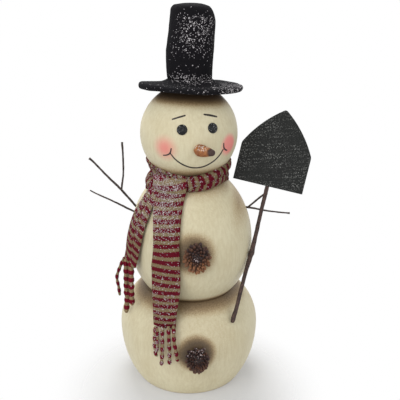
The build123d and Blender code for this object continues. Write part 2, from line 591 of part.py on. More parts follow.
top_z = NECK_Z - WRAP_ROLL
wide, narrow = SIDE_TAIL_WIDTH / 2, SIDE_TAIL_TOP_WIDTH / 2
wide_z = BELLY_Z + SIDE_TAIL_WIDE_OVER_BELLY
side_outline = [(-wide - SIDE_TAIL_SWING, SIDE_HEM_Z - SIDE_HEM_SLANT), (-wide, wide_z), (-narrow, top_z)]
side_outline += [(narrow, top_z), (wide, wide_z), (wide - SIDE_TAIL_SWING, SIDE_HEM_Z)]
side_cloth = draped(TORSO_RADIUS + HEM_STAND_OFF, SIDE_HEM_Z - SIDE_HEM_SLANT)
scarf_side_tail = seen_from(SIDE_TAIL_AZIMUTH, side_outline, side_cloth)
side_strips = fringe(SIDE_TAIL_AZIMUTH, SIDE_STRIPS, SIDE_HEM_Z, Pos(TORSO_SHIFT, 0, 0) * shell(side_hang))
scarf_side_tail = scarf_side_tail.fuse(*side_strips)
beside_front_tail = Plane.YZ.offset(left_edge[0][0] - CLOTH_GAP)
scarf_side_tail = split(scarf_side_tail, beside_front_tail, keep=Keep.BOTTOM)

# ---------------------------------------------------------------- write the nodes

nodes = {
    "base_ball": base_ball,
    "torso": torso,
    "head": head,
    "waist_dowel": waist_dowel,
    "neck_dowel": neck_dowel,
    "left_eye": left_eye,
    "right_eye": right_eye,
    "nose": nose,
    "upper_pine_cone": upper_pine_cone,
    "lower_pine_cone": lower_pine_cone,
    "left_arm_forked_twig": left_arm_forked_twig,
    "left_arm_plain_twig": left_arm_plain_twig,
    "right_arm_forked_twig": right_arm_forked_twig,
    "shovel_handle": shovel_handle,
    "shovel_blade": shovel_blade,
    "hat_brim": hat_brim,
    "hat_crown": hat_crown,
    "scarf_neck_wrap": scarf_neck_wrap,
    "scarf_front_tail": scarf_front_tail,
    "scarf_side_tail": scarf_side_tail,
}

os.makedirs("parts", exist_ok=True)
for name, shape in nodes.items():
    export_step(shape, f"parts/{name}.step")
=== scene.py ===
import math
import random

import bpy
from mathutils import Matrix, Vector, noise


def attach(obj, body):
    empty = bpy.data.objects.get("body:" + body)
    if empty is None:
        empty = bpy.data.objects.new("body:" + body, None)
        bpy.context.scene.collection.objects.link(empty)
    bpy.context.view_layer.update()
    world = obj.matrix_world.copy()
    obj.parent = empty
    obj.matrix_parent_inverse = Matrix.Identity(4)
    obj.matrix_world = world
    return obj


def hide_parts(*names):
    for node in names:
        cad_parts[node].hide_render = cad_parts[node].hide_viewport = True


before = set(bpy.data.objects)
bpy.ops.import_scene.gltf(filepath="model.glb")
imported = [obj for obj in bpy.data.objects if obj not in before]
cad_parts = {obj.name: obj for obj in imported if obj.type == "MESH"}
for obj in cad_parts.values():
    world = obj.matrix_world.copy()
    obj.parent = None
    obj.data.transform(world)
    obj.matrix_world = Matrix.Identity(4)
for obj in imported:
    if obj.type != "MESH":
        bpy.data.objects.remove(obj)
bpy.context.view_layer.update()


# ---------------------------------------------------------------------------------------- stage
# The figure stands on a plain pale floor under soft studio light. The camera looks down on it a little,
# at the level of its waist.

camera_target = Vector((0, 0, 0.2))
camera_distance = 0.8
camera_elevation = math.radians(22)
camera_data = bpy.data.cameras.new("camera")
camera_data.lens = 72
camera_data.sensor_width = 36
camera_data.shift_x = 0.028
camera_data.shift_y = -0.01475
camera = bpy.data.objects.new("camera", camera_data)
camera_back = Vector((0, -math.cos(camera_elevation), math.sin(camera_elevation)))
camera.location = camera_target + camera_distance * camera_back
camera.rotation_euler = (math.pi / 2 - camera_elevation, 0, 0)
bpy.context.scene.collection.objects.link(camera)
bpy.context.scene.camera = camera
bpy.context.scene.view_settings.view_transform = "Standard"


def soft_box(name, place, size, watts):
    """A square lamp that faces the figure's middle."""
    lamp = bpy.data.lights.new(name, "AREA")
    lamp.size = size
    lamp.energy = watts
    light = bpy.data.objects.new(name, lamp)
    light.location = place
    light.rotation_euler = (camera_target - Vector(place)).to_track_quat("-Z", "Y").to_euler()
    bpy.context.scene.collection.objects.link(light)


soft_box("overhead_soft_box", (-0.1, 0.55, 1.25), 0.7, 12)
soft_box("front_soft_box", (-0.5, -0.8, 1.05), 0.8, 4.5)
soft_box("left_soft_box", (-1.3, -1.3, 0.9), 1.0, 7)
soft_box("right_soft_box", (1.4, -1.5, 0.8), 1.0, 6.5)


class Field:
    """A value that varies over a surface: a node's output, with Python's operators for its Math nodes."""

    def __init__(self, finish, socket):
        self.finish = finish
        self.socket = socket

    def maths(self, operation, *terms):
        return self.finish.node("ShaderNodeMath", {"operation": operation}, dict(enumerate(terms)))

    def __add__(self, other):
        return self.maths("ADD", self, other)

    def __sub__(self, other):
        return self.maths("SUBTRACT", self, other)

    def __rsub__(self, other):
        return self.maths("SUBTRACT", other, self)

    def __mul__(self, other):
        return self.maths("MULTIPLY", self, other)

    def __truediv__(self, other):
        return self.maths("DIVIDE", self, other)

    def __gt__(self, other):
        return self.maths("GREATER_THAN", self, other)

    def __or__(self, other):
        return self.maths("MAXIMUM", self, other)

    def __abs__(self):
        return self.maths("ABSOLUTE", self)

    __radd__ = __add__
    __rmul__ = __mul__

    def wave(self):
        return self.maths("SINE", self)

    def part(self):
        return self.maths("FRACT", self)

    def fade(self, start, end):
        """0 at start, 1 at end, and smooth between them."""
        inputs = {"Value": self, "From Min": start, "From Max": end}
        return self.finish.node("ShaderNodeMapRange", {"interpolation_type": "SMOOTHSTEP"}, inputs)

    def other(self, name):
        """Another output of the same node."""
        return Field(self.finish, self.socket.node.outputs[name])


class Finish:
    """A node material, or the sky, with one shader and what feeds it."""

    def __init__(self, name, shader="ShaderNodeBsdfPrincipled", kind=bpy.data.materials, end="Material",
                 **fixed):
        self.material = kind.new(name)
        self.material.use_nodes = True
        self.tree = self.material.node_tree
        self.tree.nodes.clear()
        self.shader = self.tree.nodes.new(shader)
        out = self.tree.nodes.new("ShaderNodeOutput" + end)
        self.tree.links.new(self.shader.outputs[0], out.inputs[0])
        self.wear({socket.replace("_", " "): value for socket, value in fixed.items()})

    def feed(self, socket, value):
        if isinstance(value, Field):
            self.tree.links.new(value.socket, socket)
        elif socket.type == "RGBA" and len(value) == 3:
            socket.default_value = (*value, 1)
        else:
            socket.default_value = value

    def node(self, kind, settings, inputs, output=0):
        """One node: its settings first, then the values or links of its sockets."""
        made = self.tree.nodes.new(kind)
        for name, value in settings.items():
            setattr(made, name, value)
        for socket, value in inputs.items():
            self.feed(made.inputs[socket], value)
        return Field(self, made.outputs[output])

    def wear(self, inputs):
        for socket, value in inputs.items():
            self.feed(self.shader.inputs[socket], value)

    def mix(self, factor, under, over):
        return self.node("ShaderNodeMix", {"data_type": "RGBA"}, {0: factor, 6: under, 7: over}, 2)

    def vector(self, operation, first, second, output=0):
        return self.node("ShaderNodeVectorMath", {"operation": operation}, {0: first, 1: second}, output)

    def seen(self):
        """1 where the camera looks, straight or by way of gloss or glass, and 0 for other light."""
        path = self.node("ShaderNodeLightPath", {}, {})
        return path | path.other("Is Glossy Ray") | path.other("Is Transmission Ray")

    def place(self):
        """The point on the surface, in millimetres."""
        point = self.node("ShaderNodeTexCoord", {}, {}, "Object")  # in metres
        return self.stretched(point, (1000, 1000, 1000))

    def axes(self, point):
        x = self.node("ShaderNodeSeparateXYZ", {}, {0: point})
        return x, x.other("Y"), x.other("Z")

    def away(self, point, centre):
        """How far the surface is from a centre."""
        return self.vector("DISTANCE", point, centre, "Value")

    def stretched(self, point, scale):
        return self.vector("MULTIPLY", point, scale)

    def cloud(self, point, size, detail=3):
        """Soft random patches of about a size, from 0 to 1."""
        return self.node("ShaderNodeTexNoise", {}, {"Vector": point, "Scale": 1 / size, "Detail": detail})

    def cells(self, point, size):
        """How far off the nearest random cell's middle is, in cells, and a random number for each cell."""
        middle = self.node("ShaderNodeTexVoronoi", {}, {"Vector": point, "Scale": 1 / size})
        return middle, middle.other("Color")

    def mark(self, name):
        """A value that the mesh's points carry."""
        return self.node("ShaderNodeAttribute", {"attribute_name": name}, {}, "Fac")

    def relief(self, height, millimetres):
        """A surface that rises with a value from 0 to 1."""
        return self.node("ShaderNodeBump", {}, {"Distance": millimetres / 1000, "Height": height})


# the paper keeps the figure's soft shadow, and fades into the white round it
bpy.ops.mesh.primitive_circle_add(vertices=96, radius=0.6, fill_type="NGON")
floor = bpy.context.object
floor.name = "floor"
floor_paper = Finish("floor_paper", "ShaderNodeMixShader")
point = floor_paper.place()
shadow_middle = (0, -45, 0)
out_of_sight = floor_paper.away(point, shadow_middle).fade(70, 145)
seen = floor_paper.seen()
grey = floor_paper.mix(seen, (0.86, 0.86, 0.86), (0.42, 0.42, 0.42))
matt = floor_paper.node("ShaderNodeBsdfDiffuse", {}, {"Color": grey})
glow = floor_paper.node("ShaderNodeEmission", {}, {"Strength": seen * 0.25})
paper = floor_paper.node("ShaderNodeAddShader", {}, {0: matt, 1: glow})
gone = floor_paper.node("ShaderNodeBsdfTransparent", {}, {})
floor_paper.wear({0: out_of_sight, 1: paper, 2: gone})
floor.data.materials.append(floor_paper.material)

sky = Finish("studio_sky", "ShaderNodeMixShader", bpy.data.worlds, "World")
soft_light = sky.node("ShaderNodeBackground", {}, {"Color": (1, 1, 1), "Strength": 0.62})
white = sky.node("ShaderNodeBackground", {}, {"Color": (1, 1, 1), "Strength": 1})
sky.wear({0: sky.seen(), 1: soft_light, 2: white})
bpy.context.scene.world = sky.material


# ---------------------------------------------------------------------------------------- turned forms
# The base, the torso and the head are wood turned on a lathe, pegged on top of each other and glued. They
# are brushed cream by hand. The umber along the seams, round what is fixed on them, under the hat and the
# scarf, at the foot, on the chin and down their backs and the torso's right side is partly antiquing from an
# airbrush and partly painted shade.

base_radius, base_foot_radius, base_top_radius, base_belly_z = 71.6, 54.5, 47.0, 57.0
waist_z = 102.3
torso_radius, torso_foot_radius, torso_belly_z, torso_x = 62.0, 44.2, 150.8, 2.0
neck_z, neck_radius = 223.7, 23.5
head_radius = 47.3
head_z = neck_z + math.sqrt(head_radius**2 - neck_radius**2)
head_centre = Vector((0, 0, head_z))
cream, cream_shade = (0.66, 0.605, 0.42), (0.57, 0.50, 0.32)
tan, umber = (0.38, 0.26, 0.125), (0.06, 0.036, 0.018)
halo_on_base, halo_on_torso = (7.5, -72.0, 58.5), (4.0, -60.0, 162.0)


def oval(radius, rise, end_radius, above):
    """The radius above or below an oval's belly. It narrows to an end radius over a rise."""
    half_height = rise / math.sqrt(1 - (end_radius / radius) ** 2)
    return radius * math.sqrt(max(0, 1 - (above / half_height) ** 2))


def base_at(z):
    """The base's radius at a height."""
    if z > base_belly_z:
        return oval(base_radius, waist_z - base_belly_z, base_top_radius, z - base_belly_z)
    return oval(base_radius, base_belly_z, base_foot_radius, z - base_belly_z)


def torso_at(z):
    """The torso's radius at a height."""
    if z > torso_belly_z:
        return oval(torso_radius, neck_z - torso_belly_z, neck_radius, z - torso_belly_z)
    return oval(torso_radius, torso_belly_z - waist_z, torso_foot_radius, z - torso_belly_z)


def piece(name, points, faces, finish, slot, values=()):
    """A smooth mesh from points in millimetres, and values that they carry. It rides with the figure."""
    mesh = bpy.data.meshes.new(name)
    mesh.from_pydata([Vector(p) / 1000 for p in points], [], faces)
    mesh.validate()
    for attribute, numbers in dict(values).items():
        mesh.attributes.new(attribute, "FLOAT", "POINT").data.foreach_set("value", numbers)
    mesh.shade_smooth()
    mesh.materials.append(finish.material)
    made = bpy.data.objects.new(name, mesh)
    bpy.context.scene.collection.objects.link(made)
    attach(made, "root")
    return made


def skin(rings, around):
    """The faces between rings of points, with one over each end."""
    faces = []
    for ring in range(rings - 1):
        for step in range(around):
            a, b = ring * around + step, ring * around + (step + 1) % around
            faces.append((a, b, b + around, a + around))
    last = (rings - 1) * around
    return [*faces, tuple(reversed(range(around))), tuple(range(last, last + around))]


def lathe(profile, around=144, placed=Matrix.Identity(4), uneven=lambda point: 0):
    """Points and faces turned about the Z axis from (radius, height) pairs, and pushed out unevenly."""
    points = []
    for radius, height in profile:
        for step in range(around):
            turn = 2 * math.pi * step / around
            point = Vector((radius * math.cos(turn), radius * math.sin(turn), height))
            point += Vector((math.cos(turn), math.sin(turn), 0)) * uneven(point)
            points.append(placed @ point)
    return points, skin(len(profile), around)


def hand_turned(point):
    """The last fifth of a millimetre that a hand-held gouge leaves."""
    return 0.22 * noise.noise(point / 34) + 0.06 * noise.noise(point / 9)


def heights(low, high, count):
    """Heights from low to high, closer together near the ends."""
    return [low + (high - low) * (1 - math.cos(math.pi * i / count)) / 2 for i in range(count + 1)]


def facing(azimuth, elevation):
    """The direction of a turn from the front towards the shovel, and up."""
    a, e = math.radians(azimuth), math.radians(elevation)
    return Vector((math.sin(a) * math.cos(e), -math.cos(a) * math.cos(e), math.sin(e)))


def cream_paint(name):
    """Cream paint in brush strokes: its finish, the point on it, its colour, its relief and its grain."""
    paint = Finish(name, Roughness=0.5, Coat_Roughness=0.4)
    point = paint.place()
    patches = paint.cloud(point, 30)
    strokes = paint.cloud(paint.stretched(point, (1, 1, 0.16)), 2.2, 4)
    grains = paint.cloud(point, 1.3, 2)
    shade = (patches * 0.5 + strokes * 0.55 + grains * 0.2).fade(0.42, 0.85)
    colour = paint.mix(shade, cream, cream_shade)
    relief = paint.relief(strokes * 0.6 + grains * 0.4, 0.35)
    return paint, point, colour, relief, grains


def airbrushed_and_shaded(paint, colour, relief, grains, brown):
    """Umber, part sprayed antiquing and part painted shade, where brown is near 1. It thins through tan in a
    fine mist.
    """
    mist = brown + (grains - 0.5) * (brown * (1 - brown)) * 1.4
    colour = paint.mix(mist.fade(0.0, 0.75), colour, tan)
    colour = paint.mix(mist.fade(0.3, 1.0), colour, umber)
    paint.wear({"Base Color": colour, "Normal": relief, "Roughness": 0.42 + grains * 0.16})


base_paint, point, colour, relief, grains = cream_paint("cream_paint_of_base")
_, y, z = base_paint.axes(point)
# painted shade with sprayed antiquing: umber round the cone, under the torso's overhang, at the foot and at
# the back
around_cone = base_paint.away(point, halo_on_base).fade(28, 11) * 0.88
haze = base_paint.away(point, (10, -70, 72)).fade(62, 20) * 0.2
seam = z.fade(84, 103) * 0.76
back = y.fade(-16, 6) * 0.22
airbrushed_and_shaded(base_paint, colour, relief, grains, around_cone | seam | haze | back | z.fade(7, 0) * 0.3)
foot_edge = (base_foot_radius - 1.4, 0)
base_profile = [foot_edge, *[(base_at(z), z) for z in heights(1.2, waist_z, 60)], (0.1, waist_z)]
base = piece("painted_base", *lathe(base_profile, uneven=hand_turned), base_paint, "painted_wood")
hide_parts("base_ball")

torso_paint, point, colour, relief, grains = cream_paint("cream_paint_of_torso")
x, y, z = torso_paint.axes(point)
# painted shade with sprayed antiquing: umber round the cone, under the scarf, on the right shoulder, at the
# back and above the waist
around_cone = torso_paint.away(point, halo_on_torso).fade(30, 11) * 0.78
under_scarf = z.fade(203, 222) * 0.6
shoulder = z.fade(165, 200) * x.fade(34, 50) * 0.5
back = y.fade(-18, 4) * (0.2 + x.fade(0, 50) * 0.2)
brown = around_cone | under_scarf | shoulder | back | z.fade(111, 102) * 0.8
airbrushed_and_shaded(torso_paint, colour, relief, grains, brown)
torso_profile = [(torso_at(z), z) for z in heights(waist_z, neck_z, 60)]
torso_place = Matrix.Translation((torso_x, 0, 0))
torso_mesh = lathe(torso_profile, placed=torso_place, uneven=hand_turned)
torso = piece("painted_torso", *torso_mesh, torso_paint, "painted_wood")
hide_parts("torso")

lean_right, tilt_back = math.radians(2.4), math.radians(8)
hat_lean = Matrix.Rotation(lean_right, 4, "Y") @ Matrix.Rotation(-tilt_back, 4, "X")
hat_up = hat_lean @ Vector((0, 0, 1))
head_paint, point, colour, relief, grains = cream_paint("cream_paint_of_head")
from_centre = head_paint.vector("SUBTRACT", point, head_centre)
_, y, z = head_paint.axes(from_centre)
up_to_hat = head_paint.vector("DOT_PRODUCT", from_centre, hat_up, "Value")
left_cheek, right_cheek = facing(-28, -3) * head_radius, facing(53, -4) * head_radius
left_blush = head_paint.away(from_centre, left_cheek).fade(16, 1)
right_blush = head_paint.away(from_centre, right_cheek).fade(13, 6)
colour = head_paint.mix(left_blush * 0.87, colour, (0.74, 0.22, 0.19))
colour = head_paint.mix(right_blush * 0.9, colour, (0.82, 0.24, 0.22))
# painted shade with sprayed antiquing: umber under the hat's brim, on the chin above the scarf and at the
# back
under_hat, chin, back = up_to_hat.fade(23, 39), z.fade(-16, -38), y.fade(-13, 4) * 0.25
airbrushed_and_shaded(head_paint, colour, relief, grains, under_hat | chin | back)
latitudes = [math.radians(-60 + 149 * i / 70) for i in range(71)]
head_profile = [(head_radius * math.cos(a), head_z + head_radius * math.sin(a)) for a in latitudes]
head = piece("painted_head", *lathe(head_profile, uneven=hand_turned), head_paint, "painted_wood")
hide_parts("head")


# ---------------------------------------------------------------------------------------- dowels
# Two beech dowels join the turned forms. They are chamfered bare wood, glued in blind holes and out of
# sight.

beech = Finish("beech", Roughness=0.6)
point = beech.place()
rings = beech.cloud(beech.stretched(point, (1, 1, 0.1)), 1.6, 4)
colour = beech.mix(rings.fade(0.35, 0.7), (0.62, 0.43, 0.24), (0.45, 0.28, 0.14))
beech.wear({"Base Color": colour, "Normal": beech.relief(rings, 0.1)})
for dowel in ("waist_dowel", "neck_dowel"):
    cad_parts[dowel].data.materials.clear()
    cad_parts[dowel].data.materials.append(beech.material)


# ---------------------------------------------------------------------------------------- eyes
# The eyes are two black glass buttons, domed with a dimple. The shank behind each is glued in a hole in
# the head.


def aimed(centre, direction):
    """A place at a centre with its Z axis in a direction."""
    return Matrix.Translation(centre) @ direction.to_track_quat("Z", "Y").to_matrix().to_4x4()


eye_glass = Finish("black_glass", Roughness=0.3, Specular_IOR_Level=0.25)
point = eye_glass.place()
# painted glints: pale grey spots on the black glass stand for reflected light
glint_spot, chance = eye_glass.cells(point, 1.0)
painted_glint = (chance > 0.7) * glint_spot.fade(0.5, 0.2)
colour = eye_glass.mix(painted_glint, (0.004, 0.005, 0.006), (0.34, 0.34, 0.36))
eye_glass.wear({"Base Color": colour, "Normal": eye_glass.relief(eye_glass.cloud(point, 1.6, 2), 0.3)})
eye_profile = [(4.75, -0.6), (4.95, 0.3), (4.8, 0.95), (4.3, 1.55), (3.5, 2.1)]
eye_profile += [(2.6, 2.5), (1.8, 2.66), (1.1, 2.45), (0.5, 2.25), (0.05, 2.2)]
eye_seat_depth = 0.4
for side, azimuth in (("left", -8.0), ("right", 29.6)):
    direction = facing(azimuth, 20)
    seat = aimed(head_centre + direction * (head_radius - eye_seat_depth), direction)
    eye = piece(side + "_eye_button", *lathe(eye_profile, 40, seat), eye_glass, "eye_gloss")
    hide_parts(side + "_eye")


# ---------------------------------------------------------------------------------------- nose
# The nose is a whittled wooden peg, glued in a hole in the head. It is painted orange, with a burnt tip
# and a little snow on top.

nose_paint = Finish("carrot_paint", Roughness=0.55)
point = nose_paint.place()
nose_root = head_centre + facing(11.2, -3.2) * head_radius
nose_aim = facing(36.5, 8.0)
from_root = nose_paint.vector("SUBTRACT", point, nose_root)
along = nose_paint.vector("DOT_PRODUCT", from_root, nose_aim, "Value")
patches = nose_paint.cloud(point, 4)
_, _, up = nose_paint.axes(nose_paint.node("ShaderNodeNewGeometry", {}, {}, "Normal"))
flake, chance = nose_paint.cells(point, 1.15)
snowy = (chance > 0.4) * flake.fade(0.6, 0.3) * up.fade(0.2, 0.6) * along.fade(18, 10)
colour = nose_paint.mix(patches.fade(0.35, 0.7), (0.22, 0.065, 0.014), (0.40, 0.15, 0.035))
burnt = (along + (patches - 0.5) * 5).fade(15.5, 19)
colour = nose_paint.mix(burnt, colour, (0.030, 0.008, 0.004))
colour = nose_paint.mix(snowy, colour, (0.78, 0.72, 0.66))
nose_paint.wear({"Base Color": colour, "Normal": nose_paint.relief(nose_paint.cloud(point, 1.8, 3), 0.6)})
nose_profile = [(4.4, -2.0)]
for i in range(25):
    t = i / 24
    nose_profile.append((6.7 - 3.9 * t + 0.8 * t * (1 - t) - 1.4 * (1 - t) ** 6, 20.6 * t))
nose_profile += [(2.6, 21.3), (2.1, 21.8), (1.3, 22.0), (0.1, 22.05)]
nose_mesh = lathe(nose_profile, 48, aimed(nose_root, nose_aim), lambda p: 0.35 * noise.noise(p / 5))
nose = piece("whittled_nose", *nose_mesh, nose_paint, "nose_paint")
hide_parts("nose")


# ---------------------------------------------------------------------------------------- brows and smile
# The brows, the smile and the creases at its ends are painted on the head with a fine brush. The dark
# paint stands a little proud.


def smooth_through(points, between):
    """Points on a smooth curve through the given points."""
    points = [Vector(p) for p in points]
    ends = [2 * points[0] - points[1], *points, 2 * points[-1] - points[-2]]
    found = []
    for a, b, c, d in zip(ends, ends[1:], ends[2:], ends[3:]):
        for i in range(between):
            t = i / between
            bend = (2 * a - 5 * b + 4 * c - d) * t**2 + (3 * b - a - 3 * c + d) * t**3
            found.append(0.5 * (2 * b + (c - a) * t + bend))
    return [*found, points[-1]]


def heading(route, i):
    """The direction of a route at one of its points."""
    return (route[min(i + 1, len(route) - 1)] - route[max(i - 1, 0)]).normalized()


# a stroke's section: how far across it, in half widths, and how high above the head
stroke_section = ((-1, -0.15), (-0.6, 0.24), (0.6, 0.24), (1, -0.15))


def brush_line(turns, width):
    """A raised line of paint on the head, from (azimuth, elevation) pairs, thin at both ends."""
    route = [facing(a, e) for a, e, _ in smooth_through([(a, e, 0) for a, e in turns], 10)]
    points = []
    for i, out in enumerate(route):
        press = 0.6 + 0.4 * math.sin(math.pi * (i + 0.4) / (len(route) - 0.2)) ** 0.4
        aside = heading(route, i).cross(out) * width / 2 * press
        for across, lift in stroke_section:
            points.append(head_centre + out * (head_radius + lift) + aside * across)
    return points, skin(len(route), len(stroke_section))


def joined(meshes):
    """Several meshes' points and faces as one."""
    points, faces = [], []
    for more_points, more_faces in meshes:
        faces += [tuple(i + len(points) for i in face) for face in more_faces]
        points += more_points
    return points, faces


liner = Finish("liner_paint", Roughness=0.5)
point = liner.place()
colour = liner.mix(liner.cloud(point, 2.5), (0.007, 0.004, 0.003), (0.020, 0.009, 0.006))
liner.wear({"Base Color": colour, "Normal": liner.relief(liner.cloud(point, 0.8), 0.15)})
smile = [(-21.6, -7.5), (-16, -15), (-8, -21.5), (2, -26), (12, -27.2)]
smile += [(22, -25.2), (32, -19.8), (38.5, -13.6), (43.2, -6.9)]
left_crease = [(-19.8, -1.5), (-21.6, -7.5), (-25.6, -10.6), (-31, -12)]
right_crease = [(43.4, 0.5), (43.9, -4.6), (46.6, -8.2), (50.5, -10.2)]
brows = ([(-22.4, 30.6), (-13, 33.9), (-4.5, 36.4)], [(20.9, 36.8), (31, 34.4), (40.3, 31.4)])
creases = [brush_line(crease, 1.8) for crease in (left_crease, right_crease)]
piece("painted_smile", *joined([brush_line(smile, 2.0), *creases]), liner, "painted_wood")
piece("painted_eyebrows", *joined([brush_line(brow, 2.3) for brow in brows]), liner, "painted_wood")


# ---------------------------------------------------------------------------------------- hat
# The top hat is black felt: a brim with a flared collar is glued on the head, and a tall open crown with
# a flat top is glued on the collar. Snow is flocked on it.

felt = Finish("black_felt", Roughness=0.95, Specular_IOR_Level=0.1)
point = felt.place()
fuzz = felt.cloud(point, 0.9, 4)
lumps = felt.cloud(point, 6, 3)
from_centre = felt.vector("SUBTRACT", point, head_centre)
x, y, _ = felt.axes(from_centre)
height = felt.vector("DOT_PRODUCT", from_centre, hat_up, "Value")
windward = (x * 0.2 - y).fade(-16, 14)
high_on_crown = height.fade(66, 96) * height.fade(118, 108)
foot_of_crown = height.fade(48, 52) * height.fade(60, 54)
right_wing = x.fade(24, 36) * height.fade(56, 52)
ridge = felt.away(from_centre, (24, -22, 49)).fade(7, 3)
drift = windward * (0.2 + high_on_crown * 0.3 + foot_of_crown * 0.4) + ridge * 0.5 + right_wing * 0.3
drift *= 0.55 + lumps
felt_colour = felt.mix(fuzz, (0.004, 0.004, 0.005), (0.011, 0.010, 0.012))
for size, share in ((0.95, 0.8), (1.5, 0.5)):
    flake, chance = felt.cells(point, size)
    snow = (drift * share - chance > 0) * flake.fade(0.55, 0.2) * (0.2 + fuzz * 1.1)
    felt_colour = felt.mix(snow, felt_colour, (0.74, 0.70, 0.72))
felt.wear({"Base Color": felt_colour, "Normal": felt.relief(fuzz * 0.6 + lumps, 0.9)})

brim_over_centre = 45
hat_place = Matrix.Translation(head_centre) @ hat_lean @ Matrix.Translation((0, 0, brim_over_centre))
crown_radius, collar_top = 21.0, 7.1
brim_profile = [(21.3, -2.5), (30, -2.5), (40, -2.5), (47.6, -2.5), (49.2, -1.9), (50, -0.5)]
brim_profile += [(50, 0.6), (49.2, 1.9), (47.6, 2.5), (42, 2.5), (37, 2.5)]
for i in range(13):
    t = i / 12
    brim_profile.append((33.5 - 12.5 * t, 2.5 + (collar_top - 2.5) * t**2.2))
brim_profile.append((18.5, collar_top))


def brim_wave(point):
    """The brim droops at its back left, and its left edge rolls thicker."""
    turn = math.atan2(point.y, point.x)
    out = min(1, max(0, (math.hypot(point.x, point.y) - 26) / 24))
    left = max(0, -math.cos(turn)) ** 3
    back_left = max(0, math.cos(turn - math.radians(128))) ** 3
    rise = 0.4 * math.sin(2 * turn + 0.6) + 0.5 * noise.noise(point / 15) - 0.9 * left - 3.2 * back_left
    return Vector((0, 0, out * (rise + 0.4 * left * point.z)))


brim_points, brim_faces = lathe(brim_profile, 160, uneven=lambda p: 0.25 * noise.noise(p / 12))
brim_points = [hat_place @ (p + brim_wave(p)) for p in brim_points]
brim = piece("felt_brim", brim_points, brim_faces, felt, "hat_felt")
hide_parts("hat_brim")


def felt_dents(point):
    """The crown bulges low at its left, is pressed in at its right, and has slumped at its top right."""
    left = -point.x / crown_radius
    low = math.exp(-(((point.z - 27) / 20) ** 2))
    top = max(0, (point.z - 60) / 15) ** 2
    dents = (1.2 + 1.8 * low) * max(0, left) - (0.8 + 0.5 * low + 4.5 * top) * max(0, -left) ** 2
    return dents + 0.35 * noise.noise(point / 14) + 0.2 * noise.noise(point / 4)


crown_foot, crown_shoulder, crown_edge = 7.05, 69.55, 5.5
crown_profile = [(18.8, crown_foot), (crown_radius, crown_foot)]
for i in range(1, 25):
    t = i / 24
    crown_profile.append((crown_radius + 3.2 * t * (1 - t), crown_foot + (crown_shoulder - crown_foot) * t))
for i in range(1, 9):
    a = math.pi / 2 * i / 8
    crown_profile.append((15.5 + crown_edge * math.cos(a), crown_shoulder + 5.9 * math.sin(a)))
crown_profile += [(12, 76.2), (8, 76.8), (4, 77.1), (0.1, 77.2)]
crown_mesh = lathe(crown_profile, 128, hat_place, felt_dents)
crown = piece("felt_crown", *crown_mesh, felt, "hat_felt")
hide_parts("hat_crown")


# ---------------------------------------------------------------------------------------- scarf
# The scarf is a strip of striped knit, crimson and khaki. It goes twice round the neck and hangs down in
# front and over the side, and its ends are cut into strips that roll up.

stripe_pitch = 8.0
stitch_wide, stitch_high = 2.3, 1.9
crimson, khaki = (0.195, 0.004, 0.021), (0.37, 0.275, 0.15)
knit = Finish("striped_knit", Roughness=0.95, Specular_IOR_Level=0.15)
point = knit.place()
knit_marks = ("along", "across", "icing")
along, across, icing = (knit.mark(name) for name in knit_marks)
leg = abs((across / stitch_wide).part() - 0.5)
row = (along / stitch_high + leg).part()
stitch = (row * math.pi).wave() * (0.35 + 1.3 * abs((leg * 2 * math.pi).wave()))
yarn = knit.cloud(point, 1.1, 3)
ragged = along + (leg - 0.25) * 1.2 + (yarn - 0.5) * 1.8
from_crimson = abs((ragged / stripe_pitch + 0.5).part() - 0.5)
colour = knit.mix(from_crimson.fade(0.25, 0.31), crimson, khaki)
# painted shade: the knit darkens in the gaps between its stitches
colour = knit.mix(stitch.fade(0.45, 0.0) * 0.35, colour, (0.06, 0.014, 0.012))
for size, share in ((1.15, 1.1), (1.8, 0.5)):
    flake, chance = knit.cells(point, size)
    snow = (icing * share - chance > 0) * flake.fade(0.6, 0.32)
    colour = knit.mix(snow * (0.15 + yarn * 1.1), colour, (0.80, 0.74, 0.75))
knit.wear({"Base Color": colour, "Normal": knit.relief(stitch + yarn * 0.5, 0.9)})


def cloth(name, rows, columns, at, thickness):
    """A grid of knit. at(down, over) gives a point, how far along and across the knit it is, and icing."""
    points, faces, marks = [], [], {mark: [] for mark in knit_marks}
    for i in range(rows + 1):
        for j in range(columns + 1):
            spot, *numbers = at(i / rows, j / columns)
            points.append(spot)
            for mark, number in zip(knit_marks, numbers):
                marks[mark].append(number)
            if i and j:
                here = i * (columns + 1) + j
                faces.append((here - columns - 2, here - columns - 1, here, here - 1))
    made = piece(name, points, faces, knit, "scarf_knit", marks)
    solid = made.modifiers.new("thickness", "SOLIDIFY")
    solid.thickness = thickness / 1000
    solid.offset = -1
    soft = made.modifiers.new("soft_edge", "SUBSURF")
    soft.levels = soft.render_levels = 1
    return made


def between(value, table):
    """A number read from (value, number) pairs in rising order."""
    for (low, first), (high, second) in zip(table, table[1:]):
        if value <= high:
            t = max(0, (value - low) / (high - low))
            return first + (second - first) * t
    return table[-1][1]


def rolled_strip(route, along, width, icing):
    """A cut strip that has rolled into a cord: points, faces and marks of a tube along a route."""
    route = smooth_through(route, 8)
    points, marks, sides = [], {mark: [] for mark in knit_marks}, 10
    for i, spot in enumerate(route):
        along += (spot - route[i - 1]).length if i else 0
        down = heading(route, i)
        aside = down.cross(Vector((0, 1, 0.1))).normalized()
        out = aside.cross(down)
        swell = 1 + 0.17 * math.cos(along * 2 * math.pi / stripe_pitch) + 0.12 * noise.noise(spot / 3)
        swell *= 0.55 if i in (0, len(route) - 1) else 1
        for k in range(sides):
            turn = 2 * math.pi * k / sides
            rim = aside * math.cos(turn) * 1.12 + out * math.sin(turn) * 0.8
            points.append(spot + rim * width / 2 * swell)
            for mark, number in zip(knit_marks, (along, k * stitch_wide / 5, icing)):
                marks[mark].append(number)
    return points, skin(len(route), sides), marks


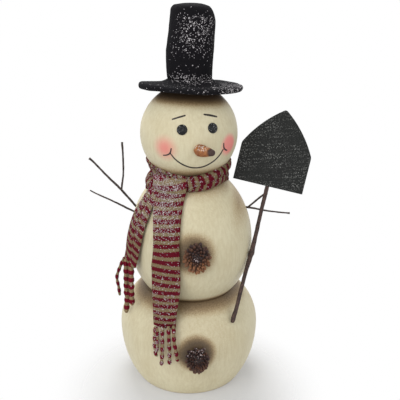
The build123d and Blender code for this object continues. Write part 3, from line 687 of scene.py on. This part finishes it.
def fringe(name, strips):
    """A hem's rolled strips as one piece."""
    meshes = [rolled_strip(*strip) for strip in strips]
    points, faces = joined([(p, f) for p, f, _ in meshes])
    marks = {mark: [n for _, _, m in meshes for n in m[mark]] for mark in knit_marks}
    return piece(name, points, faces, knit, "scarf_knit", marks)


wrap_radius, wrap_girth = 38, 60
wrap_icing = [(-40, 0.3), (-20, 0.5), (0, 0.28), (30, 0.2), (40, 0.15)]
# each turn's azimuth from the front, with its height, its outer radius and half its thickness there
upper_turn = [(-180, 233, 39.5, 5.2), (-90, 233, 38.5, 5.6), (-50, 232, 38.8, 5.2), (-30, 229, 39, 5),
              (0, 225, 39.2, 5), (30, 229, 39.3, 5), (50, 232, 39.8, 5), (90, 233, 40.5, 5),
              (180, 233, 39.5, 5.2)]
lower_turn = [(-180, 219, 39, 5.6), (-90, 214.5, 41.8, 6.6), (-45, 218.5, 40, 5.8), (0, 221.8, 38.4, 5.4),
              (20, 222.5, 38.4, 5.4), (40, 224, 38.3, 5.4), (60, 224.2, 38.4, 5.4), (90, 221.2, 38.4, 5.4),
              (180, 219, 39, 5.6)]


def clear(spot, room):
    """The spot, moved out from the neck's axis if it would be in the torso or in the head."""
    out = math.hypot(spot.x, spot.y)
    head_at = math.sqrt(max(0, head_radius**2 - (spot.z - head_z) ** 2))
    body_at = torso_at(spot.z) + torso_x * spot.x / out if spot.z < neck_z else 0
    share = max(out, head_at + room, body_at + room) / out
    return Vector((spot.x * share, spot.y * share, spot.z))


def around_neck(down, over):
    """A point on the two turns round the neck: down goes over both turns' sections, over goes round."""
    turn = 2 * math.pi * over + math.pi / 2
    way = Vector((math.cos(turn), math.sin(turn), 0))
    azimuth = math.degrees(math.atan2(way.x, -way.y))
    second = down > 0.5
    table = lower_turn if second else upper_turn
    z, outer, roll = between(azimuth, [(a, Vector(section)) for a, *section in table])
    t = (down - 0.5 * second) * 2
    angle = math.pi * (0.62 - 1.24 * t)
    lump = 0.8 * noise.noise(way * 3.2 + Vector((0, 0, 7 * second + t)))
    lump += 0.4 * noise.noise(way * 8 + Vector((0, 0, 3 * t)))
    under_tail = 2.6 * max(0, 1 - (abs(azimuth + 31) / 34) ** 6)
    radius = outer - under_tail - roll + (roll + lump) * math.cos(angle)
    spot = clear(way * radius + Vector((0, 0, z + (roll + lump) * math.sin(angle))), 1.7)
    icing = between(spot.x, wrap_icing) if spot.y < 12 else 0.1
    bunched = 3.5 * noise.noise(way * 5 + Vector((0, 0, t + 9 * second)))
    slant = (t - 0.5) * (7 if second else -5)
    return spot, turn * wrap_radius + slant + bunched, down * wrap_girth, icing


wrap = cloth("knitted_neck_wrap", 44, 240, around_neck, 1.4)
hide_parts("scarf_neck_wrap")

# the front tail at some heights: where its left and right edges are, how far out it hangs and its icing
front_left = [(84, -33.8), (103, -34.2), (131, -35), (148, -34.8), (165, -33), (200, -32.8), (234, -33.5)]
front_right = [(84, -13), (103, -11.5), (125, -8.2), (150, -7.8), (173, -8.6), (195, -7), (205, -5.4),
               (216, -2.6), (234, -1.5)]
front_out = [(84, base_at(84) + 3.4), (torso_belly_z, torso_radius + 2.4), (206, torso_at(206) + 2.6),
             (215, 41.2), (221, 41.4), (226, 39.4), (229, 36.5), (230.8, 34)]
front_icing = [(84, 0.15), (100, 0.3), (118, 0.26), (150, 0.18), (172, 0.24), (182, 0.45), (222, 0.62),
               (230, 0.4)]
# the crimson bands' middles, at the tail's left edge and at its right edge
left_bands = [84.7, 92, 98.2, 106, 113.1, 120.3, 129.8, 137.2, 145.2, 153.4, 160.6, 167.9, 175.4, 182.5,
              189.8, 197, 203.4, 209.8, 217.4, 225]
right_bands = [88.7, 94.7, 101.5, 109.6, 116.6, 123.7, 130.6, 138.6, 145.9, 154.9, 165.2, 172.1, 179.5,
               186.7, 193.9, 201.3, 208.1, 215.2, 224.8, 233]
front_top, front_drop = 230.8, 146.8


def out_from_torso(z):
    """How far the front tail hangs from the torso's middle at a height."""
    if torso_belly_z < z < 206:
        return torso_at(z) + 2.6
    return between(z, front_out)


def band_at(z, bands):
    """How many crimson bands a height is above the lowest one."""
    return between(z, [(bands[0] - 8, -1), *zip(bands, range(len(bands)))])


def front_tail_at(down, over):
    """A point on the front tail: down goes down the torso, over goes from its left edge to its right."""
    z = front_top - front_drop * down
    left, right = between(z, front_left), between(z, front_right)
    x = left + (right - left) * over
    curl = 1.1 * abs(2 * over - 1) ** 4
    ripple = 0.55 * noise.noise(Vector((over * 2, z / 22, 0)))
    ripple += 0.3 * noise.noise(Vector((over * 5, z / 9, 4)))
    out = out_from_torso(z) - curl + ripple
    y = -math.sqrt(max(0, out**2 - (x - torso_x) ** 2))
    bands = band_at(z, left_bands) * (1 - over) + band_at(z, right_bands) * over
    near_right_edge = max(0, over - 0.72) / 0.28
    icing = between(z, front_icing) * (1 if z < 172 else 1.1 - 0.8 * near_right_edge)
    return clear(Vector((x, y, z)), 2.3), -bands * stripe_pitch, x, icing


front_tail = cloth("knitted_front_tail", 120, 24, front_tail_at, 2.0)
# each strip's route, how far along the stripes it starts, its width and its icing
front_strips = [
    ([(-31.2, -65.8, 87), (-30.6, -68.6, 76), (-31.0, -70.0, 67), (-31.6, -70.0, 60)], 1.0, 2.9, 0.4),
    ([(-32.8, -65.4, 87), (-33.4, -68.4, 76), (-33.6, -69.4, 67), (-32.4, -70.6, 58),
      (-30.8, -70.0, 57)], 4.4, 2.9, 0.4),
    ([(-25.8, -67.0, 88), (-25.8, -69.0, 82.9), (-26.0, -73.0, 62.7), (-27.1, -73.0, 47.1)], 1.0, 3.2, 0.35),
    ([(-19.7, -68.0, 89), (-19.7, -70.0, 84.7), (-18.9, -74.0, 63.3), (-19.0, -74.0, 48.9)], 2.0, 3.3, 0.3),
    ([(-14.9, -68.8, 90), (-14.7, -71.0, 84.5), (-14.3, -74.0, 74.7), (-12.9, -75.0, 66.3),
      (-11.0, -75.0, 53.2)], 2.6, 3.2, 0.2),
]
front_fringe = fringe("knitted_front_fringe", front_strips)
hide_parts("scarf_front_tail")

# the side tail at some heights: its middle's azimuth, half its width, how far it stands off and its icing
side_middle = [(138, -64.5), (150, -63.2), (165, -61.6), (185, -59.6), (205, -57), (218, -55)]
side_half = [(138, 14.2), (165, 14.6), (190, 13.0), (206, 9.6), (218, 8.0)]
side_out = [(138, 5.6), (150, 3.4), (170, 2.6), (204, 3.0), (212, 4.5), (218, 2.5)]
side_icing = [(138, 0.1), (165, 0.18), (185, 0.42), (218, 0.45)]
side_top, side_drop = 218, 80


def side_tail_at(down, over):
    """A point on the side tail, which is creased down its middle."""
    z = side_top - side_drop * down
    across = (2 * over - 1) * between(z, side_half)
    crease = 1.5 * max(0, 1 - abs(across) / 3.2)
    ripple = 0.5 * noise.noise(Vector((over * 2.5, z / 16, 9)))
    out = (torso_at(z) if z > torso_belly_z else torso_radius) + between(z, side_out) - crease + ripple
    turn = math.radians(between(z, side_middle)) + across / out
    spot = Vector((torso_x + out * math.sin(turn), -out * math.cos(turn), z - 2.2 * (1 - over) * down))
    along = (side_top - z) * 1.05 - 0.42 * min(0, across) - 0.3 * max(0, across)
    along += stripe_pitch / 2 if across > 0 else 0
    return spot, along, across, between(z, side_icing)


side_tail = cloth("knitted_side_tail", 70, 22, side_tail_at, 2.0)
side_strips = [
    ([(-64.6, -18.6, 139), (-68.0, -19.0, 132.1), (-72.3, -19.0, 120.6), (-73.0, -19.0, 114.5),
      (-71.6, -19.0, 105.3), (-70.8, -19.6, 96)], 1, 2.9, 0.05),
    ([(-62.7, -25.6, 141), (-62.7, -27.5, 123.6), (-62.9, -28.5, 107.0), (-62.6, -29.0, 95.8),
      (-63.8, -30.0, 82)], 3, 4.8, 0.1),
    ([(-57.0, -34.0, 142), (-57.2, -35.4, 127.5), (-57.4, -36.4, 111.2), (-57.1, -37.0, 94.6)], 5, 5.0, 0.08),
]
side_fringe = fringe("knitted_side_fringe", side_strips)
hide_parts("scarf_side_tail")


# ---------------------------------------------------------------------------------------- pine cones
# Two small pine cones serve as buttons. Each has woody scales that open round its heart by the golden
# angle and close to its tip.

cone_scales = Finish("cone_scales", Roughness=0.5)
point = cone_scales.place()
scale_marks = ("tone", "reach", "frost")
tone, reach, frost = (cone_scales.mark(name) for name in scale_marks)
fibres = cone_scales.cloud(point, 0.8, 3)
ruddy = (tone + (fibres - 0.5) * 0.6).fade(0.05, 0.95)
colour = cone_scales.mix(ruddy, (0.026, 0.007, 0.006), (0.25, 0.092, 0.028))
# painted shade: the scales darken towards their roots, where they tuck under each other
colour = cone_scales.mix(reach.fade(0.95, 0.6) * 0.9, colour, (0.012, 0.004, 0.003))
flake, chance = cone_scales.cells(point, 1.1)
snow = (frost - chance > 0) * flake.fade(0.65, 0.3)
colour = cone_scales.mix(snow, colour, (0.66, 0.56, 0.56))
grain = cone_scales.relief(fibres, 0.4)
cone_scales.wear({"Base Color": colour, "Normal": grain, "Roughness": 0.4 + fibres * 0.3})

# a scale's sections from its stem to its lip: shares of its length and width, rise and depth in thicknesses
scale_sections = ((0.0, 0.45, 0.0, 0.35), (0.45, 0.6, 0.02, 0.32), (0.72, 0.95, 0.12, 0.3),
                  (0.88, 0.85, 0.1, 0.24), (1.0, 0.32, -0.02, 0.12))
scale_rim = ((-1, 0), (-0.5, 0.8), (0, 1), (0.5, 0.8), (1, 0), (0.5, -0.7), (-0.5, -0.7))
scale_width, scale_thickness = 4.7, 2.1
golden_angle = 137.508


def woody_scale(length, width, thick):
    """One scale along +X: a stem that widens into a blunt shield, thicker in its middle."""
    points = []
    for reach, wide, rise, deep in scale_sections:
        for across, top in scale_rim:
            points.append(Vector((reach * length, across * wide * width / 2, (rise + top * deep) * thick)))
    return points, skin(len(scale_sections), len(scale_rim))


def pine_cone(name, place, diameter, length, scales, tone_of, frost_of):
    """A cone on its seat: its scales, and a heart behind them, dark with painted shade."""
    heart = [(0.1, -1.5)]
    for i in range(8):
        a = math.pi / 2 * i / 8
        heart.append((0.76 * diameter / 2 * math.cos(a), 0.9 * length * math.sin(a)))
    heart.append((0.1, 0.92 * length))
    meshes = [lathe(heart, 20, place)]
    # the heart's marks are all 0, so it is painted as dark as the shade between the scales
    marks = {mark: [0.0] * len(meshes[0][0]) for mark in scale_marks}
    for i in range(scales):
        closing = (i + 0.5) / scales * math.pi / 2
        wobble = random.uniform(-1, 1)
        tip_out = diameter / 2 * math.cos(closing) ** 0.8 * (1 + 0.05 * wobble)
        tip = Vector((tip_out, 0, 2.4 + (length - 2.4) * math.sin(closing)))
        root = Vector((0.2 * tip.x, 0, 0.55 * tip.z))
        out, long = (tip - root).normalized(), (tip - root).length
        turn = Matrix.Rotation(math.radians(i * golden_angle + 6 * wobble), 4, "Z")
        stand = Matrix(((out.x, 0, -out.z, root.x), (0, 1, 0, 0), (out.z, 0, out.x, root.z), (0, 0, 0, 1)))
        wide = scale_width * (0.5 + 0.5 * math.cos(closing))
        scale_points, scale_faces = woody_scale(long, wide, scale_thickness)
        placed = [place @ turn @ stand @ p for p in scale_points]
        meshes.append((placed, scale_faces))
        lip = placed[-4]
        marks["tone"] += [tone_of(lip) + random.uniform(-0.14, 0.14)] * len(placed)
        marks["reach"] += [p.x / long for p in scale_points]
        marks["frost"] += [frost_of(lip)] * len(placed)
    points, faces = joined(meshes)
    made = piece(name, points, faces, cone_scales, "cone_scales", marks)
    soft = made.modifiers.new("rounded_scales", "SUBSURF")
    soft.levels = soft.render_levels = 1
    return made


random.seed(5)
cone_seat_depth = 1.3
upright = Matrix.Diagonal((1, 1.12, 1, 1))  # both cones are a little taller than wide
upper_aim, lower_aim = facing(-3, 17), facing(4, 6)
upper_seat = Vector((8.0, -60.6, 159.6)) - upper_aim * cone_seat_depth
lower_seat = Vector((8.2, -70.9, 54.2)) - lower_aim * cone_seat_depth
upper_tip = upper_seat + upper_aim * 17


def upper_tone(p):
    """Orange-brown below and dark red-brown above, with a dark middle."""
    by_height = between(p.z, [(150, 0.8), (158, 0.62), (168, 0.3), (174, 0.2)])
    return by_height * between((p - upper_tip).length, [(4, 0.2), (8, 1)])


def lower_tone(p):
    """Nearly black, and redder at its foot."""
    return between(p.z, [(40, 0.5), (47, 0.34), (60, 0.2)])


def upper_frost(p):
    """Snow in the middle only."""
    return 0.8 if (p - upper_tip).length < 2.5 else 0.04


def lower_frost(p):
    """Snow on the upper scales."""
    return between(p.z, [(52, 0.03), (60, 0.08), (67, 0.45)])


upper_place, lower_place = aimed(upper_seat, upper_aim) @ upright, aimed(lower_seat, lower_aim) @ upright
upper_cone = pine_cone("upper_cone_button", upper_place, 27.6, 16.5, 92, upper_tone, upper_frost)
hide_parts("upper_pine_cone")
lower_cone = pine_cone("lower_cone_button", lower_place, 25, 18.5, 90, lower_tone, lower_frost)
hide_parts("lower_pine_cone")


# ---------------------------------------------------------------------------------------- arms
# The arms are natural twigs with their bark on, glued in drilled holes. The left one is a forked and a
# plain twig, and the right one is forked.


def bark(name, dark, light):
    """Ridged bark in two tones."""
    made = Finish(name, Roughness=0.75)
    point = made.place()
    ridges = made.cloud(made.stretched(point, (1, 1, 0.3)), 1.4, 4)
    colour = made.mix(ridges.fade(0.35, 0.7), dark, light)
    made.wear({"Base Color": colour, "Normal": made.relief(ridges, 0.5)})
    return made


def twig(route, sides=10, rough=0.3):
    """Points and faces of a twig through (x, y, z, diameter) points."""
    thick = list(enumerate(p[3] for p in route))
    spots = smooth_through([p[:3] for p in route], 8)
    points = []
    for i, spot in enumerate(spots):
        radius = between(i / 8, thick) / 2
        along = heading(spots, i)
        aside = along.cross(Vector((0, 1, 0.05))).normalized()
        out = aside.cross(along)
        for k in range(sides):
            turn = 2 * math.pi * k / sides
            bump = 1 + rough * noise.noise(spot / 3.5 + Vector((math.cos(turn), math.sin(turn), 0)))
            points.append(spot + (aside * math.cos(turn) + out * math.sin(turn)) * radius * bump)
    return points, skin(len(spots), sides)


twig_bark = bark("twig_bark", (0.018, 0.012, 0.010), (0.075, 0.052, 0.042))
left_fork_at, right_fork_at = (-67.4, 1, 204.2), (59.6, 1.8, 185.0)
left_main = [(-50.5, 2.2, 182.5, 2.4), (*left_fork_at, 2.4), (-80.8, 0, 219.2, 2.1), (-93.9, -2, 235.3, 1.9),
             (-97.6, -2, 238.7, 2.6)]
left_branch = [(*left_fork_at, 2.0), (-65.1, 3, 220.6, 1.9), (-65.0, 5, 237.9, 1.7), (-65.5, 6, 252.5, 2.3)]
left_twigs = joined([twig(left_main), twig(left_branch)])
left_fork = piece("left_forked_twig", *left_twigs, twig_bark, "twig_bark")
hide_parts("left_arm_forked_twig")
left_plain = [(-49, 1.6, 177, 2.1), (-75.5, 5, 189.8, 1.8), (-93.1, 7, 197.6, 1.5), (-99.6, 8, 201.0, 1.3)]
left_twig = piece("left_plain_twig", *twig(left_plain), twig_bark, "twig_bark")
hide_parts("left_arm_plain_twig")
right_upper = [(*right_fork_at, 2.0), (73.5, -3.4, 200.1, 1.9), (78.4, -3.2, 202.0, 1.6)]
right_lower = [(52, 1.9, 184.2, 2.3), (*right_fork_at, 2.2), (80.0, 3, 180.5, 1.7), (97.9, 4, 178.0, 1.5),
               (102.4, 4, 177.6, 2.2)]
right_twigs = joined([twig(right_lower), twig(right_upper)])
right_fork = piece("right_forked_twig", *right_twigs, twig_bark, "twig_bark")
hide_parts("right_arm_forked_twig")


# ---------------------------------------------------------------------------------------- shovel
# The shovel's handle is a stick with a knot, glued to the base and to the torso. The blade is a thin
# board, glued on the stick where it is sawn flat. It is painted black and flocked with grey glitter.

handle_bark = bark("handle_bark", (0.020, 0.010, 0.008), (0.085, 0.046, 0.036))
blade_seat = Vector((77.4, -5.1, 209.1))
blade_along, blade_front = Vector((0.231, 0.272, 0.934)), Vector((-0.023, -0.958, 0.285))
behind_blade = blade_seat + 26 * blade_along
sawn_from, sawn_depth = 1.2, 0.9
handle_route = [(43.4, -51.4, 82.8, 2.6), (44.2, -50.2, 86.5, 4.9), (47.9, -46.4, 99, 4.0),
                (55.4, -35.6, 127, 3.9), (60.6, -27.4, 141.5, 4.6), (62.3, -25.1, 146.7, 6.1),
                (63.6, -23.2, 151.5, 4.9), (66.6, -18.1, 163, 4.0), (72.3, -11.1, 188.5, 4.0),
                (*blade_seat, 4.1), (*behind_blade, 3.9)]
stick_points, stick_faces = twig(handle_route, 14, 0.16)
for spot in stick_points:
    over = spot - blade_seat
    if over.dot(blade_along) > sawn_from:
        spot -= blade_front * max(0, over.dot(blade_front) - sawn_depth)
handle = piece("shovel_stick", stick_points, stick_faces, handle_bark, "handle_bark")
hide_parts("shovel_handle")

blade_paint = Finish("glitter_black", Specular_IOR_Level=0.2)
point = blade_paint.place()
speck, chance = blade_paint.cells(point, 0.95)
streaks = blade_paint.cloud(blade_paint.stretched(point, (0.25, 1, 1)), 6, 3)
glitter = (chance > 0.55) * speck.fade(0.55, 0.25) * streaks.fade(0.3, 0.75)
colour = blade_paint.mix(glitter, (0.012, 0.013, 0.012), (0.26, 0.26, 0.25))
relief = blade_paint.relief(speck + streaks, 0.35)
blade_paint.wear({"Base Color": colour, "Roughness": 0.6 - glitter * 0.25, "Normal": relief})
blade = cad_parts["shovel_blade"]
blade.data.materials.clear()
blade.data.materials.append(blade_paint.material)
